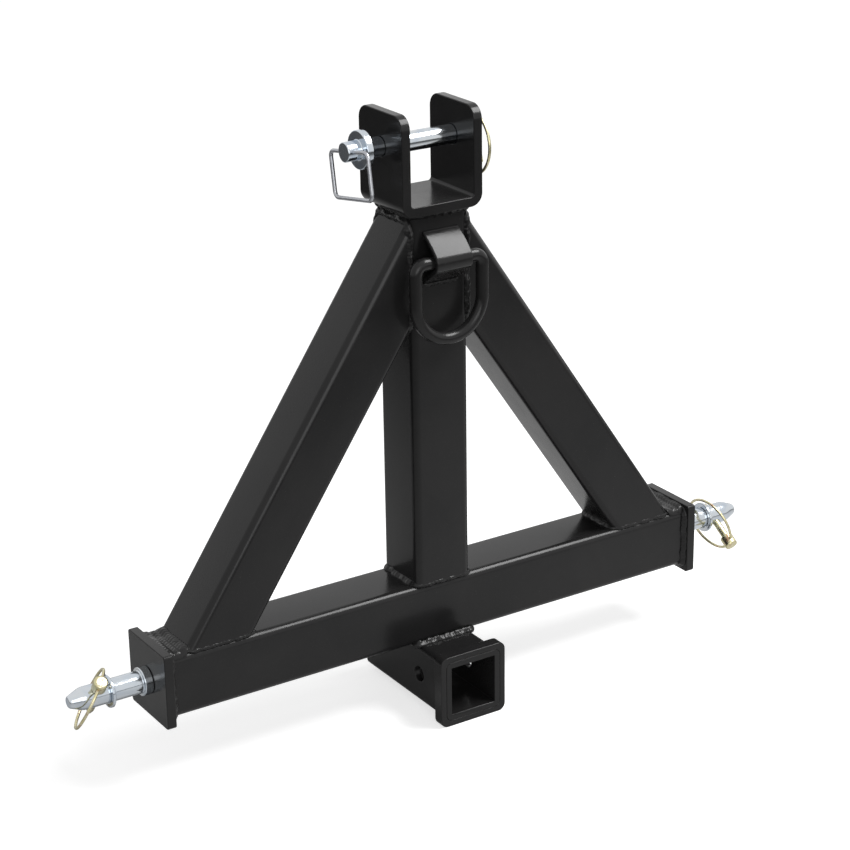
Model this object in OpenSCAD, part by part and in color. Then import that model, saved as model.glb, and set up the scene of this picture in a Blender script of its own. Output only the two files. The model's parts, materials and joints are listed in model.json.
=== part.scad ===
// Three-point receiver hitch: a welded A-frame of square tube that hangs on a
// tractor's lower link arms and top link, with a receiver tube under its bar.
// Millimetres, +Z up, +X to the right, +Y to the back of the frame.
// The origin is the middle of the receiver's cross hole for the hitch pin.

/* [Frame tubes] */
// Outside width of the cross bar and of the upright
tube_w = 63.5; // [56:0.5:70]
// Wall of every frame tube
tube_wall = 4.8; // [3:0.1:6.5]
// Outside corner radius of the frame tubes
tube_corner_r = 7.9; // [7:0.1:10]
// Length of the cross bar between its end plates
bar_len = 609.6; // [560:1:680]
// Height of the upright above the cross bar
upright_h = 381; // [360:1:430]
// Outside width of the two sloping braces
brace_w = 60.3; // [50:0.1:62]
// Distance from the end of the bar to the outer edge of a brace's foot
brace_foot_in = 18.3; // [16:0.1:40]
// Distance from the top of the upright down to the upper edge of a brace
brace_top_drop = 6.85; // [6:0.05:16]

/* [End plates] */
// Width and height of the square plates on the ends of the bar
plate_w = 76.2; // [74:0.1:90]
// Thickness of the end plates
plate_t = 9.525; // [6:0.025:12]
// Corner radius of the end plates
plate_corner_r = 3.2; // [1:0.1:6]

/* [Top clevis] */
// Outside width across the two ears
clevis_w = 88.9; // [84:0.1:100]
// Thickness of the bent strap
clevis_t = 9.525; // [6:0.025:12]
// Width of the strap, front to back
clevis_depth = 76.2; // [70:0.1:90]
// Height of the ears from the underside of the base
clevis_h = 96.5; // [90:0.5:120]
// Radius of the ears' top corners
clevis_corner_r = 14; // [6:0.5:20]
// Inside radius of the two bends
clevis_bend_r = 3.2; // [2:0.1:8]
// Height of the pin holes above the underside of the base
clevis_hole_h = 62.5; // [55:0.5:70]

/* [Receiver] */
// Outside width of the receiver tube
receiver_w = 63.5; // [60:0.5:70]
// Width of the square socket
receiver_bore = 51; // [50.8:0.1:52]
// Length of the receiver tube
receiver_len = 152.4; // [140:0.1:200]
// Distance from the mouth back to the hitch pin hole
receiver_hole_back = 50.8; // [44:0.1:60]
// Distance from the hitch pin hole to the front face of the cross bar
receiver_setback = 0.3; // [0:0.1:6]
// Diameter of the hitch pin holes
hitch_hole_d = 16.3; // [16:0.1:17]
// Outside corner radius of the receiver tube
receiver_corner_r = 6.4; // [5:0.1:8]
// Outside width of the collar at the mouth
collar_w = 76.2; // [74:0.1:86]
// Depth of the collar along the tube
collar_t = 12.7; // [8:0.1:20]
// Outside corner radius of the collar
collar_corner_r = 8; // [4:0.5:12]

/* [D-ring and its clip] */
// Diameter of the D-ring's rod
ring_rod_d = 12.7; // [10:0.1:14]
// Width of the D-ring across its rods
ring_w = 87.5; // [84:0.5:100]
// Height of the D-ring from the pivot line to the bottom of its bow
ring_h = 84; // [80:0.5:95]
// Bend radius of the D-ring's two upper corners
ring_corner_r = 10; // [8:0.5:14]
// Distance from the top of the upright down to the pivot line
ring_pivot_drop = 43.5; // [38:0.5:60]
// Distance from the upright's front face to the pivot line
ring_pivot_out = 15; // [14:0.5:18]
// Width of the clip strap
clip_w = 40; // [30:0.5:44]
// Thickness of the clip strap
clip_t = 4.8; // [3:0.1:6]
// Slope of the clip's upper leg above level
clip_top_slope = 40; // [35:1:45]
// Slope of the clip's lower leg below level
clip_foot_slope = 35.3; // [32:0.1:40]
// Length of the clip's upper leg that is ground flat against the upright
clip_trim = 0.6; // [0.4:0.1:2]

/* [Lower lift pins] */
// Diameter of the lift pins
lift_pin_d = 22.2; // [20:0.1:23]
// Length of a lift pin outside its end plate
lift_pin_len = 82.7; // [80:0.1:100]
// Diameter of the shoulder that seats on the plate
lift_flange_d = 28; // [26:0.5:34]
// Thickness of the shoulder
lift_flange_t = 9; // [5:0.5:12]
// Distance from the plate to the lynch pin hole
lift_hole_out = 53.7; // [52:0.1:60]
// Length of the tapered nose
lift_nose_len = 14; // [13:0.5:18]
// Diameter of the end of the nose
lift_nose_d = 11; // [9:0.5:12]
// Diameter of the threaded stub inside the plate
lift_stub_d = 19.05; // [16:0.05:20]
// Width of the weld nut across its flats
nut_flats = 28.6; // [27:0.1:34]
// Thickness of the weld nut
nut_t = 16.3; // [12:0.1:20]
// Outside diameter of the loose washers
washer_d = 32; // [28:0.5:32]
// Thickness of the loose washers
washer_t = 3; // [2:0.1:4]
// Distance from a washer's middle inboard to the lynch pin hole
washer_in = 12; // [10:0.5:14]

/* [Top link pin] */
// Diameter of the top link pin
top_pin_d = 19.05; // [18:0.05:20]
// Distance from the clevis's left face to the collar on the pin
top_pin_gap = 17; // [12:0.5:20]
// Diameter of the pin's collar
top_collar_d = 37; // [30:0.5:42]
// Thickness of the pin's collar
top_collar_t = 7.5; // [5:0.5:10]
// Length of the head outside the collar
top_head_len = 15; // [13:0.5:18]
// Distance from the collar to the bail's hole through the head
bail_hole_out = 9.45; // [7:0.05:11]
// Length of the chamfer on the pin's tip
top_tip_chamfer = 3; // [1:0.1:4]
// Length of the pin past the clevis's right face
top_tail_len = 19.5; // [18:0.5:24]
// Distance from the clevis's right face to the lynch pin hole
top_hole_out = 7.5; // [7.4:0.1:8.5]
// Diameter of the bail wire
bail_d = 4; // [3:0.1:5]
// Width of the bail between its side wires' centres
bail_w = 67.7; // [60:0.1:72]
// Height of the bail from the hole to its bottom wire
bail_h = 44.2; // [40:0.1:50]
// Bend radius of the bail at the wire's centre
bail_corner_r = 6; // [4:0.5:8]
// Turn of the pin and bail about the pin's axis
bail_turn = 9.6; // [0:0.1:12]

/* [Lynch pins] */
// Diameter of a lynch pin's shank
lynch_d = 7.9; // [6:0.1:8]
// Length from under the head to the tip of the shank
lynch_len = 45; // [42:0.1:48]
// Length of the tapered tip of the shank
lynch_nose_len = 7; // [4:0.5:10]
// Diameter of the end of the tip
lynch_nose_d = 3.95; // [2:0.05:5]
// Diameter of the head
lynch_head_d = 14; // [12:0.5:14]
// Length of the head
lynch_head_len = 13; // [10:0.5:14]
// Wire diameter of the spring ring
lynch_wire_d = 3; // [2.4:0.1:3.4]
// Radius of the spring ring at the wire's centre
lynch_ring_r = 30; // [29.5:0.1:31]
// Distance that the hinge line cuts into the ring's circle
lynch_hinge_in = 1; // [0.5:0.1:2]
// Tilt of the left lynch pin towards the front
left_lynch_tilt = 36.1; // [30:0.5:40]
// Twist of the left ring out of square with the lift pin
left_lynch_twist = 40; // [0:1:40]
// Outward opening of the left ring
left_ring_open = 8; // [0:1:10]
// Tilt of the right lynch pin, which points forwards and down
right_lynch_tilt = 122.9; // [110:0.1:130]
// Twist of the right ring out of square with the lift pin
right_lynch_twist = -12; // [-15:1:10]
// Outward opening of the right ring
right_ring_open = -14; // [-14:1:0]
// Distance that the right lynch pin is slid out of its seat
right_lynch_out = 19.5; // [10:0.5:19.5]
// Tilt of the top lynch pin, whose head leans to the back
top_lynch_tilt = -45; // [-60:1:-30]

/* [Weld beads] */
// Radius of the frame's weld beads
bead_r = 5; // [3:0.1:5.5]
// Radius of the beads along the clip
clip_bead_r = 4; // [2.5:0.1:4.5]

/* [Clearances] */
// Radial gap between a pin and the hole it turns or slides in
pin_gap = 0.3; // [0.2:0.05:0.5]
// Radial gap between the lift pin's stub and the plate and nut
stub_gap = 0.05; // [0.02:0.01:0.2]
// Radial gap between a washer and the lift pin
washer_gap = 0.4; // [0.3:0.1:0.6]
// Radial gap between the D-ring's rod and the clip
clip_gap = 0.6; // [0.4:0.1:1]
// Radial gap between spring wire and its hole in a head
wire_gap = 0.08; // [0.05:0.01:0.1]
// Gap between a seated lynch head and its pin
lynch_seat_gap = 0.3; // [0.2:0.05:0.5]

/* [Hidden] */

paint = "#1c1c1e";
zinc = "#c9ccd2";
yellow_zinc = "#c9bd6a";
left = -1;
right = 1;
// Facets of the round shapes in the preview
$fn = 48;
// A length that reaches past the whole frame, for cutting shapes
far = 2000;

// Heights and depths of the frame's main faces
bar_bottom = receiver_w / 2;
bar_top = bar_bottom + tube_w;
bar_z = bar_bottom + tube_w / 2;
bar_front = receiver_setback;
bar_y = bar_front + tube_w / 2;
upright_top = bar_top + upright_h;
plate_out = bar_len / 2 + plate_t;
receiver_mouth = -receiver_hole_back;
collar_back = receiver_mouth + collar_t;

// Top link pin, along X through the clevis
top_pin_z = upright_top + clevis_hole_h;
top_pin_r = top_pin_d / 2;
collar_in = clevis_w / 2 + top_pin_gap;
collar_out = collar_in + top_collar_t;
bail_x = -(collar_out + bail_hole_out);
top_hole_x = clevis_w / 2 + top_hole_out;

// Lift pins, along X out of the end plates
lift_pin_r = lift_pin_d / 2;
lift_hole_x = plate_out + lift_hole_out;
lift_tip_x = plate_out + lift_pin_len;
washer_x = lift_hole_x - washer_in;

// D-ring pivot line, along X in front of the upright
pivot_y = bar_front - ring_pivot_out;
pivot_z = upright_top - ring_pivot_drop;
ring_rod_r = ring_rod_d / 2;
clip_in_r = ring_rod_r + clip_gap;
clip_out_r = clip_in_r + clip_t;
// Depth of the clip's legs inside the line that just touches the bend
clip_lap = 0.02;
// Lengths of the clip's legs, the upper one to where its lower edge meets the upright
clip_top_len = (ring_pivot_out + clip_in_r * sin(clip_top_slope)) / cos(clip_top_slope);
clip_foot_len = (ring_pivot_out + clip_out_r) / cos(clip_foot_slope);
// Heights where the clip's two legs meet the upright's face
clip_top_z = pivot_z + clip_in_r * cos(clip_top_slope) + clip_top_len * sin(clip_top_slope);
clip_foot_z = pivot_z - (ring_pivot_out * sin(clip_foot_slope) + clip_out_r) / cos(clip_foot_slope);

// The braces run from their feet on the bar to the upright's sides. brace_flat is
// the length of a foot, and low_z and top_z are where a brace meets the upright.
brace_foot_x = bar_len / 2 - brace_foot_in;
brace_top_z = upright_top - brace_top_drop;
brace_angle = atan((brace_top_z - bar_top) / (brace_foot_x - tube_w / 2));
brace_flat = brace_w / sin(brace_angle);
brace_low_z = bar_top + (brace_foot_x - brace_flat - tube_w / 2) * tan(brace_angle);
brace_front = bar_y - brace_w / 2;
brace_back = bar_y + brace_w / 2;

// The ring's wire and the distance from its hinge to its centre. Its two ends lie
// from stub_end to stub_x on the hinge line.
lynch_wire_r = lynch_wire_d / 2;
lynch_ring_drop = lynch_ring_r - lynch_hinge_in;
lynch_gap_angle = acos(lynch_ring_drop / lynch_ring_r);
lynch_stub_x = lynch_ring_r * sin(lynch_gap_angle);
lynch_stub_end = lynch_head_d / 4;
// The elbow between ring and hinge end is a little fatter than the wire
lynch_elbow_r = 1.07 * lynch_wire_r;

// Shapes that repeat

// A square with round corners, centred
module rounded_square(w, r) {
    square([w, w - 2 * r], center = true);
    square([w - 2 * r, w], center = true);
    for (sx = [-1, 1], sy = [-1, 1])
        translate([sx * (w / 2 - r), sy * (w / 2 - r)])
            circle(r);
}

// A square tube's section
module tube_section(w, wall, r) {
    difference() {
        rounded_square(w, r);
        rounded_square(w - 2 * wall, r - wall);
    }
}

// A round bar along X, from one x to another
module bar_x(x0, x1, r) {
    translate([min(x0, x1), 0, 0])
        rotate([0, 90, 0])
            cylinder(h = abs(x1 - x0), r = r);
}

// The filled outer shapes of the frame's tubes, which the weld beads lie against
module bar_solid() {
    translate([0, bar_y, bar_z])
        rotate([0, 90, 0])
            linear_extrude(bar_len, center = true)
                rounded_square(tube_w, tube_corner_r);
}

module upright_solid() {
    translate([0, bar_y, bar_top])
        linear_extrude(upright_h)
            rounded_square(tube_w, tube_corner_r);
}

module receiver_solid() {
    translate([0, receiver_mouth, 0])
        rotate([-90, 0, 0])
            linear_extrude(receiver_len)
                rounded_square(receiver_w, receiver_corner_r);
}

// The slope that a brace follows, drawn for one side
module on_brace(side) {
    translate([side * brace_foot_x, bar_y, bar_top])
        rotate([0, side * (brace_angle - 90), 0])
            translate([-side * brace_w / 2, 0, 0])
                children();
}

// Room above the bar and beside the upright, where the braces lie
module brace_room(side) {
    translate([side > 0 ? tube_w / 2 : -far, -far / 2, bar_top])
        cube([far - tube_w / 2, far, far]);
}

module brace_solid(side) {
    intersection() {
        on_brace(side)
            linear_extrude(far / 2, center = true)
                rounded_square(brace_w, tube_corner_r);
        brace_room(side);
    }
}

// Frame tubes

module cross_tube() {
    color(paint)
        translate([0, bar_y, bar_z])
            rotate([0, 90, 0])
                linear_extrude(bar_len, center = true)
                    tube_section(tube_w, tube_wall, tube_corner_r);
}

module upright_tube() {
    color(paint)
        translate([0, bar_y, bar_top])
            linear_extrude(upright_h)
                tube_section(tube_w, tube_wall, tube_corner_r);
}

module brace_tube(side) {
    color(paint)
        intersection() {
            on_brace(side)
                linear_extrude(far / 2, center = true)
                    tube_section(brace_w, tube_wall, tube_corner_r);
            brace_room(side);
        }
}

module end_plate(side) {
    color(paint)
        translate([side * (bar_len / 2 + plate_t / 2), bar_y, bar_z])
            rotate([0, 90, 0])
                linear_extrude(plate_t, center = true)
                    difference() {
                        rounded_square(plate_w, plate_corner_r);
                        circle(lift_stub_d / 2 + stub_gap);
                    }
}

// Top clevis: one strap bent up into two ears

// The outline of a strap bent up at both sides, seen from the front
module bent_outline(w, r, h) {
    translate([-w / 2 + r, 0])
        square([w - 2 * r, h]);
    translate([-w / 2, r])
        square([w, h - r]);
    for (sx = [-1, 1])
        translate([sx * (w / 2 - r), r])
            circle(r);
}

// The outline of an ear seen from the side, standing on y = 0
module ear_outline(w, h, r) {
    translate([-w / 2, 0])
        square([w, h - r]);
    translate([-w / 2 + r, 0])
        square([w - 2 * r, h]);
    for (sx = [-1, 1])
        translate([sx * (w / 2 - r), h - r])
            circle(r);
}

module top_clevis() {
    color(paint)
        translate([0, bar_y, upright_top])
            difference() {
                intersection() {
                    rotate([90, 0, 0])
                        linear_extrude(clevis_depth, center = true)
                            difference() {
                                bent_outline(clevis_w, clevis_bend_r + clevis_t, clevis_h);
                                translate([0, clevis_t])
                                    bent_outline(clevis_w - 2 * clevis_t, clevis_bend_r, clevis_h);
                            }
                    rotate([90, 0, 90])
                        linear_extrude(clevis_w, center = true)
                            ear_outline(clevis_depth, clevis_h, clevis_corner_r);
                }
                translate([0, 0, clevis_hole_h])
                    bar_x(-clevis_w, clevis_w, top_pin_r + pin_gap);
            }
}

// Receiver tube and the collar round its mouth

module receiver_tube() {
    color(paint)
        difference() {
            translate([0, receiver_mouth, 0])
                rotate([-90, 0, 0])
                    linear_extrude(receiver_len)
                        difference() {
                            rounded_square(receiver_w, receiver_corner_r);
                            square(receiver_bore, center = true);
                        }
            bar_x(-receiver_w, receiver_w, hitch_hole_d / 2);
        }
}

module receiver_collar() {
    color(paint)
        translate([0, receiver_mouth, 0])
            rotate([-90, 0, 0])
                linear_extrude(collar_t)
                    difference() {
                        rounded_square(collar_w, collar_corner_r);
                        rounded_square(receiver_w, receiver_corner_r);
                    }
}

// D-ring and the strap that holds it

// The clip's outline at radius r round the pivot line, filled in, with its two
// legs; more makes it longer and deeper, for the outline that is cut away
module clip_outline(r, more) {
    reach = 4 * clip_out_r;
    // The legs lie a little inside the bend, so that the bend's edge crosses them
    leg_r = r - clip_lap;
    circle(r);
    polygon([
        [0, 0],
        [reach * cos(clip_top_slope), reach * sin(clip_top_slope)],
        [reach * cos(clip_foot_slope), -reach * sin(clip_foot_slope)]
    ]);
    rotate(clip_top_slope)
        translate([0, -more])
            square([clip_top_len + clip_trim + more, leg_r + more]);
    rotate(-clip_foot_slope)
        translate([0, -leg_r])
            square([clip_foot_len + more, leg_r + more]);
}

// The clip's section, drawn with its pivot line at the origin and the
// upright's face at x = ring_pivot_out
module clip_section() {
    difference() {
        clip_outline(clip_out_r, 0);
        clip_outline(clip_in_r, clip_t / 2);
        translate([ring_pivot_out, -far / 2])
            square(far);
    }
}

module clip_solid() {
    translate([0, pivot_y, pivot_z])
        rotate([90, 0, 90])
            linear_extrude(clip_w, center = true)
                clip_section();
}

module d_ring_clip() {
    color(paint)
        clip_solid();
}

// A quarter or half of a bent round bar, in the plane of X and Z
module bend(r, rod_r, from, turn) {
    rotate([90, 0, 0])
        rotate([0, 0, from])
            rotate_extrude(angle = turn)
                translate([r, 0])
                    circle(rod_r);
}

module d_ring() {
    half = ring_w / 2 - ring_rod_r;
    leg = ring_h - ring_rod_r - half - ring_corner_r;
    color(paint)
        translate([0, pivot_y, pivot_z]) {
            bar_x(-half + ring_corner_r, half - ring_corner_r, ring_rod_r);
            for (sx = [-1, 1])
                translate([sx * half, 0, -ring_corner_r - leg])
                    cylinder(h = leg, r = ring_rod_r);
            translate([half - ring_corner_r, 0, -ring_corner_r])
                bend(ring_corner_r, ring_rod_r, 0, 90);
            translate([-half + ring_corner_r, 0, -ring_corner_r])
                bend(ring_corner_r, ring_rod_r, 90, 90);
            translate([0, 0, -ring_corner_r - leg])
                bend(half, ring_rod_r, 180, 180);
        }
}

// Top link pin and its bail

module at_top_pin() {
    translate([0, bar_y, top_pin_z])
        children();
}

// The bail's frame: the pin's axis at the bail hole, turned as the pin is
module at_bail() {
    at_top_pin()
        translate([bail_x, 0, 0])
            rotate([-bail_turn, 0, 0])
                children();
}

module top_link_pin() {
    tip = clevis_w / 2 + top_tail_len;
    color(zinc)
        difference() {
            at_top_pin() {
                bar_x(-collar_out, tip - top_tip_chamfer, top_pin_r);
                translate([tip - top_tip_chamfer, 0, 0])
                    rotate([0, 90, 0])
                        cylinder(h = top_tip_chamfer, r1 = top_pin_r, r2 = top_pin_r - top_tip_chamfer);
                bar_x(-collar_out, -collar_in, top_collar_d / 2);
                bar_x(-collar_out - top_head_len, -collar_out, top_pin_r);
            }
            at_bail()
                rotate([90, 0, 0])
                    cylinder(h = top_collar_d, r = bail_d / 2 + wire_gap, center = true);
            at_top_pin()
                translate([top_hole_x, 0, 0])
                    rotate([top_lynch_tilt, 0, 0])
                        cylinder(h = 2 * top_pin_d, r = lynch_d / 2 + pin_gap, center = true);
        }
}

// The bail: a wire that enters the head from both sides and drops to a bar
module top_pin_bail() {
    wire_r = bail_d / 2;
    inside = top_pin_r / 2;
    side = bail_w / 2;
    color(zinc)
        at_bail()
            rotate([0, 0, 90]) {
                for (s = [-1, 1]) {
                    bar_x(s * inside, s * (side - bail_corner_r), wire_r);
                    translate([s * side, 0, -bail_h + bail_corner_r])
                        cylinder(h = bail_h - 2 * bail_corner_r, r = wire_r);
                    translate([s * (side - bail_corner_r), 0, -bail_corner_r])
                        bend(bail_corner_r, wire_r, s > 0 ? 0 : 90, 90);
                    translate([s * (side - bail_corner_r), 0, -bail_h + bail_corner_r])
                        bend(bail_corner_r, wire_r, s > 0 ? 270 : 180, 90);
                }
                translate([0, 0, -bail_h])
                    bar_x(-side + bail_corner_r, side - bail_corner_r, wire_r);
            }
}

// Lift pins, their nuts and loose washers

module at_lift_pin(side) {
    translate([0, bar_y, bar_z])
        mirror([side < 0 ? 1 : 0, 0, 0])
            children();
}

module lift_pin(side, tilt) {
    color(zinc)
        at_lift_pin(side)
            difference() {
                union() {
                    bar_x(plate_out - plate_t - nut_t, plate_out, lift_stub_d / 2);
                    bar_x(plate_out, plate_out + lift_flange_t, lift_flange_d / 2);
                    bar_x(plate_out, lift_tip_x - lift_nose_len, lift_pin_r);
                    translate([lift_tip_x - lift_nose_len, 0, 0])
                        rotate([0, 90, 0])
                            cylinder(h = lift_nose_len, r1 = lift_pin_r, r2 = lift_nose_d / 2);
                }
                translate([lift_hole_x, 0, 0])
                    rotate([tilt, 0, 0])
                        cylinder(h = 2 * lift_pin_d, r = lynch_d / 2 + pin_gap, center = true);
            }
}

module weld_nut(side) {
    color(zinc)
        at_lift_pin(side)
            translate([plate_out - plate_t - nut_t, 0, 0])
                rotate([0, 90, 0])
                    difference() {
                        cylinder(h = nut_t, d = nut_flats / cos(30), $fn = 6);
                        translate([0, 0, -1])
                            cylinder(h = nut_t + 2, r = lift_stub_d / 2 + stub_gap);
                    }
}

module washer(side) {
    color(zinc)
        at_lift_pin(side)
            difference() {
                bar_x(washer_x - washer_t / 2, washer_x + washer_t / 2, washer_d / 2);
                bar_x(washer_x - washer_t, washer_x + washer_t, lift_pin_r + washer_gap);
            }
}

// Lynch pins and their spring rings

// A lynch pin's frame: the host pin's axis at its hole, +Z towards the head,
// +X along the ring's hinge
module at_lynch(x, z, tilt, twist) {
    translate([x, bar_y, z])
        rotate([tilt, 0, 0])
            rotate([0, 0, 90 - twist])
                children();
}

// The pin itself, on a host pin of radius host_r and slid out by out
module lynch_pin(host_r, out) {
    head_z = host_r + lynch_seat_gap + out;
    color(yellow_zinc)
        difference() {
            translate([0, 0, head_z]) {
                cylinder(h = lynch_head_len, r = lynch_head_d / 2);
                translate([0, 0, -lynch_len + lynch_nose_len])
                    cylinder(h = lynch_len - lynch_nose_len, r = lynch_d / 2);
                translate([0, 0, -lynch_len])
                    cylinder(h = lynch_nose_len, r1 = lynch_nose_d / 2, r2 = lynch_d / 2);
            }
            translate([0, 0, head_z + lynch_head_len / 2])
                bar_x(-lynch_head_d, lynch_head_d, lynch_wire_r + wire_gap);
        }
}

// The ring, hinged across the head and opened by angle open
module lynch_ring(host_r, out, open) {
    color(yellow_zinc)
        translate([0, 0, host_r + lynch_seat_gap + out + lynch_head_len / 2])
            rotate([open, 0, 0]) {
                translate([0, 0, -lynch_ring_drop])
                    bend(lynch_ring_r, lynch_wire_r, 90 + lynch_gap_angle, 360 - 2 * lynch_gap_angle);
                for (s = [-1, 1]) {
                    translate([s * lynch_stub_x, 0, 0])
                        sphere(lynch_elbow_r);
                    bar_x(s * lynch_stub_end, s * lynch_stub_x, lynch_wire_r);
                }
            }
}

module at_left_lynch() {
    at_lynch(-lift_hole_x, bar_z, left_lynch_tilt, left_lynch_twist)
        children();
}

module at_right_lynch() {
    at_lynch(lift_hole_x, bar_z, right_lynch_tilt, right_lynch_twist)
        children();
}

module at_top_lynch() {
    at_lynch(top_hole_x, top_pin_z, top_lynch_tilt, 0)
        children();
}

// Weld beads: round bars along each joint, with the joined shapes cut away

// Four bars round a square of width w and height h, in the plane of X and Y
module bead_square(w, h, r) {
    for (s = [-1, 1]) {
        translate([0, s * h / 2, 0])
            bar_x(-w / 2 - r / 2, w / 2 + r / 2, r);
        translate([s * w / 2, 0, 0])
            rotate([90, 0, 0])
                cylinder(h = h + r, r = r, center = true);
    }
}

module end_plate_welds() {
    color(paint)
        difference() {
            for (side = [left, right])
                intersection() {
                    translate([side * bar_len / 2, bar_y, bar_z])
                        rotate([0, 90, 0])
                            bead_square(tube_w, tube_w, bead_r);
                    translate([0, bar_y, bar_z])
                        cube([bar_len, far, far], center = true);
                }
            bar_solid();
        }
}

module upright_foot_weld() {
    color(paint)
        difference() {
            translate([0, bar_y, bar_top])
                bead_square(tube_w, tube_w, bead_r);
            bar_solid();
            upright_solid();
        }
}

module brace_foot_welds() {
    color(paint)
        for (side = [left, right])
            difference() {
                translate([side * (brace_foot_x - brace_flat / 2), bar_y, bar_top])
                    bead_square(brace_flat, brace_w, bead_r);
                bar_solid();
                brace_solid(side);
            }
}

module clevis_weld_beads() {
    translate([0, bar_y, upright_top])
        bead_square(tube_w, tube_w, bead_r);
}

// The clevis's outside, filled in, which the bead under it lies against
module clevis_solid() {
    translate([0, bar_y, upright_top])
        rotate([90, 0, 0])
            linear_extrude(clevis_depth, center = true)
                bent_outline(clevis_w, clevis_bend_r + clevis_t, clevis_h);
}

module clevis_weld() {
    color(paint)
        difference() {
            clevis_weld_beads();
            upright_solid();
            clevis_solid();
        }
}

module brace_top_welds() {
    color(paint)
        for (side = [left, right])
            difference() {
                translate([side * tube_w / 2, bar_y, (brace_top_z + brace_low_z) / 2])
                    rotate([0, 90, 0])
                        bead_square(brace_top_z - brace_low_z, brace_w, bead_r);
                upright_solid();
                brace_solid(side);
                clevis_weld_beads();
                clevis_solid();
            }
}

module receiver_welds() {
    color(paint)
        difference() {
            translate([0, bar_y, bar_bottom])
                bead_square(receiver_w, tube_w, bead_r);
            bar_solid();
            receiver_solid();
        }
}

module collar_weld() {
    color(paint)
        difference() {
            translate([0, collar_back, 0])
                rotate([90, 0, 0])
                    bead_square(receiver_w, receiver_w, bead_r);
            receiver_solid();
            translate([0, receiver_mouth, 0])
                rotate([-90, 0, 0])
                    linear_extrude(collar_t)
                        square(far, center = true);
        }
}

module clip_welds() {
    color(paint)
        difference() {
            for (z = [clip_top_z, clip_foot_z])
                translate([0, bar_front, z])
                    bar_x(-clip_w / 2, clip_w / 2, clip_bead_r);
            clip_solid();
            upright_solid();
        }
}

cross_tube();
end_plate(left);  // left_end_plate
end_plate(right);  // right_end_plate
upright_tube();
brace_tube(left);  // left_brace_tube
brace_tube(right);  // right_brace_tube
top_clevis();
receiver_tube();
receiver_collar();
d_ring_clip();
d_ring();
top_link_pin();
top_pin_bail();
at_top_lynch() lynch_pin(top_pin_r, 0);  // top_lynch_pin
at_top_lynch() lynch_ring(top_pin_r, 0, 0);  // top_lynch_ring
lift_pin(left, left_lynch_tilt);  // left_lift_pin
lift_pin(right, right_lynch_tilt);  // right_lift_pin
weld_nut(left);  // left_weld_nut
weld_nut(right);  // right_weld_nut
washer(left);  // left_washer
washer(right);  // right_washer
at_left_lynch() lynch_pin(lift_pin_r, 0);  // left_lynch_pin
at_left_lynch() lynch_ring(lift_pin_r, 0, left_ring_open);  // left_lynch_ring
at_right_lynch() lynch_pin(lift_pin_r, right_lynch_out);  // right_lynch_pin
at_right_lynch() lynch_ring(lift_pin_r, right_lynch_out, -right_ring_open);  // right_lynch_ring
end_plate_welds();
upright_foot_weld();
brace_foot_welds();
brace_top_welds();
clevis_weld();
receiver_welds();
collar_weld();
clip_welds();
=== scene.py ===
"""Dresses the three-point receiver hitch in powder coat, weld beads and zinc, and sets its stage."""

import json
import math

import bmesh
import bpy
import numpy as np
from bpy.props import FloatProperty, FloatVectorProperty, PointerProperty
from mathutils import Euler, Matrix, Vector

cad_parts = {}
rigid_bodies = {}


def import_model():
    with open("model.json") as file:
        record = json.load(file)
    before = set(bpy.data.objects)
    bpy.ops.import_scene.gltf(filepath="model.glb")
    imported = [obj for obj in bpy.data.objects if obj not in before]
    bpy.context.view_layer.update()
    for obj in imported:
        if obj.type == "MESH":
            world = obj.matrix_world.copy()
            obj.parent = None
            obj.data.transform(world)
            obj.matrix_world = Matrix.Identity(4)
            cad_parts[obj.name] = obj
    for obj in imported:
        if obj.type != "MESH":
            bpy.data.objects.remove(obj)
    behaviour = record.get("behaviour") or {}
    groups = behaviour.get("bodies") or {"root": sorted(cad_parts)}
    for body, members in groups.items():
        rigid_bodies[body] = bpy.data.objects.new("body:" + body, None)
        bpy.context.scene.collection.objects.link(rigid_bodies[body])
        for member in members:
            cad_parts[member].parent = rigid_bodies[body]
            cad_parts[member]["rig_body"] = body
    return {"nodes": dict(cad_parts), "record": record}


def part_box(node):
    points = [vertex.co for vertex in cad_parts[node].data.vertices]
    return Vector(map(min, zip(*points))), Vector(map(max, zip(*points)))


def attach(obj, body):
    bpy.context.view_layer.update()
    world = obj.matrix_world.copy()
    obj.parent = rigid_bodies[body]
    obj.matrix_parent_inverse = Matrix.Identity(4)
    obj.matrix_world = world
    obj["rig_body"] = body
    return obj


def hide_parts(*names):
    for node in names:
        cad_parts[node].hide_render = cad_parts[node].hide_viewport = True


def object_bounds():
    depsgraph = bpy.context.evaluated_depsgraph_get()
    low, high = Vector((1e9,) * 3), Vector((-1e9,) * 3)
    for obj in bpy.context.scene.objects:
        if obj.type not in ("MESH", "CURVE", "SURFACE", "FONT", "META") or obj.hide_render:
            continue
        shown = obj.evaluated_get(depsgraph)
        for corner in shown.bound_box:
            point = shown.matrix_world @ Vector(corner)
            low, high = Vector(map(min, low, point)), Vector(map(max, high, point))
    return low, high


bl_info = {
    "name": "Three-point receiver hitch",
    "version": (1, 0, 0),
    "blender": (4, 5, 0),
    "location": "View3D > Sidebar > Hitch",
    "description": "Finishes the welded frame, its beads, pins and spring rings, and sets the studio",
    "category": "Object",
}

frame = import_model()
cad_box = [list(corner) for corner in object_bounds()]

# Directions of the CAD frame
X = np.array((1.0, 0.0, 0.0))
Y = np.array((0.0, 1.0, 0.0))
Z = np.array((0.0, 0.0, 1.0))
SIDES = (("left", -1.0), ("right", 1.0))
WHITE = (1.0, 1.0, 1.0, 1.0)
# Width of the camera's sensor, in millimetres
SENSOR = 36.0
# Point that both lamps face
LAMPS_AIM = (0.0, 0.03, 0.2)
# Radius at which the outline of a turned piece starts and ends, next to its axis
CENTRE = 0.0003
# Distance between the rings of points along a bent wire
WIRE_STEP = 0.0008
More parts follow.
